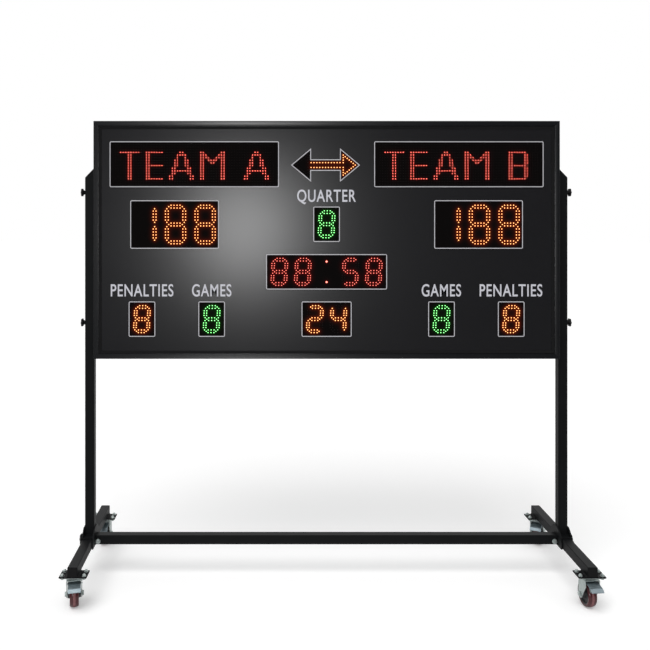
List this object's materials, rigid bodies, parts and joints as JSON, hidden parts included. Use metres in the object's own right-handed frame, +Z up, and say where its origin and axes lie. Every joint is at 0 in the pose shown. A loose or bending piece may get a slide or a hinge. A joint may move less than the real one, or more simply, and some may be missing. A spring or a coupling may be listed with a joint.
{
  "type": "electronic scoreboard",
  "caption": "Wide black electronic scoreboard held between two posts of a square tube stand on four braked swivel casters.",
  "frame": {"origin": "on the floor under the middle of the board", "axes": "+X to the right seen from the front, +Y to the back, +Z up; the lamps face -Y"},
  "size_m": [2.1506, 0.7408, 1.958],
  "materials": {
    "frame_rail": "satin black powder coat on aluminium",
    "front_panel": "satin black sheet",
    "rear_cover": "textured black powder coat on steel sheet",
    "lamp_board": "matt black lamp board with a light grey outline",
    "stand_tube": "black powder coat on steel tube",
    "black_plastic": "moulded black nylon",
    "zinc": "bright zinc plating",
    "tread": "maroon polyurethane tread on a moulded core",
    "circuit": "green solder mask",
    "sheet_steel": "perforated galvanised steel"
  },
  "bodies": {
    "stand_and_board": {"frame_bottom": "frame_rail", "frame_top": "frame_rail", "frame_left": "frame_rail", "frame_right": "frame_rail", "front_panel": "front_panel", "rear_cover": "rear_cover", "team_display_left": "lamp_board", "team_display_right": "lamp_board", "score_display_left": "lamp_board", "score_display_right": "lamp_board", "period_display": "lamp_board", "clock_display": "lamp_board", "shot_clock_display": "lamp_board", "foul_display_left": "lamp_board", "foul_display_right": "lamp_board", "timeout_display_left": "lamp_board", "timeout_display_right": "lamp_board", "arrow_display": "lamp_board", "power_supply": "sheet_steel", "controller_board": "circuit", "horn": "black_plastic", "power_inlet": "black_plastic", "post_left": "stand_tube", "post_cap_left": "black_plastic", "foot_left": "stand_tube", "saddle_left": "stand_tube", "crossbar_bolt_left": "zinc", "post_right": "stand_tube", "post_cap_right": "black_plastic", "foot_right": "stand_tube", "saddle_right": "stand_tube", "crossbar_bolt_right": "zinc", "crossbar": "stand_tube", "caster_plate_front_left": "zinc", "caster_plate_front_right": "zinc", "caster_plate_rear_left": "zinc", "caster_plate_rear_right": "zinc"},
    "board_knob_left_lower": {"board_knob_left_lower": "black_plastic"},
    "board_knob_left_upper": {"board_knob_left_upper": "black_plastic"},
    "foot_knob_left": {"foot_knob_left": "black_plastic"},
    "board_knob_right_lower": {"board_knob_right_lower": "black_plastic"},
    "board_knob_right_upper": {"board_knob_right_upper": "black_plastic"},
    "foot_knob_right": {"foot_knob_right": "black_plastic"},
    "swivel_front_left": {"caster_fork_front_left": "zinc", "caster_axle_front_left": "zinc"},
    "wheel_front_left": {"caster_wheel_front_left": "tread"},
    "pedal_front_left": {"caster_pedal_front_left": "zinc"},
    "swivel_front_right": {"caster_fork_front_right": "zinc", "caster_axle_front_right": "zinc"},
    "wheel_front_right": {"caster_wheel_front_right": "tread"},
    "pedal_front_right": {"caster_pedal_front_right": "zinc"},
    "swivel_rear_left": {"caster_fork_rear_left": "zinc", "caster_axle_rear_left": "zinc"},
    "wheel_rear_left": {"caster_wheel_rear_left": "tread"},
    "pedal_rear_left": {"caster_pedal_rear_left": "zinc"},
    "swivel_rear_right": {"caster_fork_rear_right": "zinc", "caster_axle_rear_right": "zinc"},
    "wheel_rear_right": {"caster_wheel_rear_right": "tread"},
    "pedal_rear_right": {"caster_pedal_rear_right": "zinc"},
    "rocker": {"rocker_switch": "black_plastic"}
  },
  "joints": [
    {"name": "board_knob_left_lower_turn", "type": "hinge", "parent": "stand_and_board", "child": "board_knob_left_lower", "pos_m": [-1.0503, 0, 1.089], "axis": [-1, 0, 0], "continuous": true},
    {"name": "board_knob_left_upper_turn", "type": "hinge", "parent": "stand_and_board", "child": "board_knob_left_upper", "pos_m": [-1.0503, 0, 1.652], "axis": [-1, 0, 0], "continuous": true},
    {"name": "foot_knob_left_turn", "type": "hinge", "parent": "stand_and_board", "child": "foot_knob_left", "pos_m": [-1.0503, 0, 0.1543], "axis": [-1, 0, 0], "continuous": true},
    {"name": "board_knob_right_lower_turn", "type": "hinge", "parent": "stand_and_board", "child": "board_knob_right_lower", "pos_m": [1.0503, 0, 1.089], "axis": [1, 0, 0], "continuous": true},
    {"name": "board_knob_right_upper_turn", "type": "hinge", "parent": "stand_and_board", "child": "board_knob_right_upper", "pos_m": [1.0503, 0, 1.652], "axis": [1, 0, 0], "continuous": true},
    {"name": "foot_knob_right_turn", "type": "hinge", "parent": "stand_and_board", "child": "foot_knob_right", "pos_m": [1.0503, 0, 0.1543], "axis": [1, 0, 0], "continuous": true},
    {"name": "swivel_turn_front_left", "type": "hinge", "parent": "stand_and_board", "child": "swivel_front_left", "pos_m": [-1.0203, -0.2995, 0.12], "axis": [0, 0, 1], "continuous": true},
    {"name": "wheel_spin_front_left", "type": "hinge", "parent": "swivel_front_left", "child": "wheel_front_left", "pos_m": [-1.0239, -0.28391, 0.05], "axis": [0.9744, 0.225, 0], "continuous": true},
    {"name": "pedal_press_front_left", "type": "hinge", "parent": "swivel_front_left", "child": "pedal_front_left", "pos_m": [-1.01715, -0.31314, 0.103], "axis": [0.9744, 0.225, 0], "range_deg": [0, 9]},
    {"name": "swivel_turn_front_right", "type": "hinge", "parent": "stand_and_board", "child": "swivel_front_right", "pos_m": [1.0203, -0.2995, 0.12], "axis": [0, 0, 1], "continuous": true},
    {"name": "wheel_spin_front_right", "type": "hinge", "parent": "swivel_front_right", "child": "wheel_front_right", "pos_m": [1.01891, -0.28356, 0.05], "axis": [0.9962, 0.0872, 0], "continuous": true},
    {"name": "pedal_press_front_right", "type": "hinge", "parent": "swivel_front_right", "child": "pedal_front_right", "pos_m": [1.02152, -0.31345, 0.103], "axis": [0.9962, 0.0872, 0], "range_deg": [0, 9]},
    {"name": "swivel_turn_rear_left", "type": "hinge", "parent": "stand_and_board", "child": "swivel_rear_left", "pos_m": [-1.0203, 0.2995, 0.12], "axis": [0, 0, 1], "continuous": true},
    {"name": "wheel_spin_rear_left", "type": "hinge", "parent": "swivel_rear_left", "child": "wheel_rear_left", "pos_m": [-1.02086, 0.31549, 0.05], "axis": [0.9994, 0.0349, 0], "continuous": true},
    {"name": "pedal_press_rear_left", "type": "hinge", "parent": "swivel_rear_left", "child": "pedal_rear_left", "pos_m": [-1.01981, 0.28551, 0.103], "axis": [0.9994, 0.0349, 0], "range_deg": [0, 9]},
    {"name": "swivel_turn_rear_right", "type": "hinge", "parent": "stand_and_board", "child": "swivel_rear_right", "pos_m": [1.0203, 0.2995, 0.12], "axis": [0, 0, 1], "continuous": true},
    {"name": "wheel_spin_rear_right", "type": "hinge", "parent": "swivel_rear_right", "child": "wheel_rear_right", "pos_m": [1.02781, 0.31363, 0.05], "axis": [0.8829, -0.4695, 0], "continuous": true},
    {"name": "pedal_press_rear_right", "type": "hinge", "parent": "swivel_rear_right", "child": "pedal_rear_right", "pos_m": [1.01373, 0.28714, 0.103], "axis": [0.8829, -0.4695, 0], "range_deg": [0, 9]},
    {"name": "rocker_rock", "type": "hinge", "parent": "stand_and_board", "child": "rocker", "pos_m": [0.713, 0.0423, 1.038], "axis": [1, 0, 0], "range_deg": [-18, 0]}
  ]
}
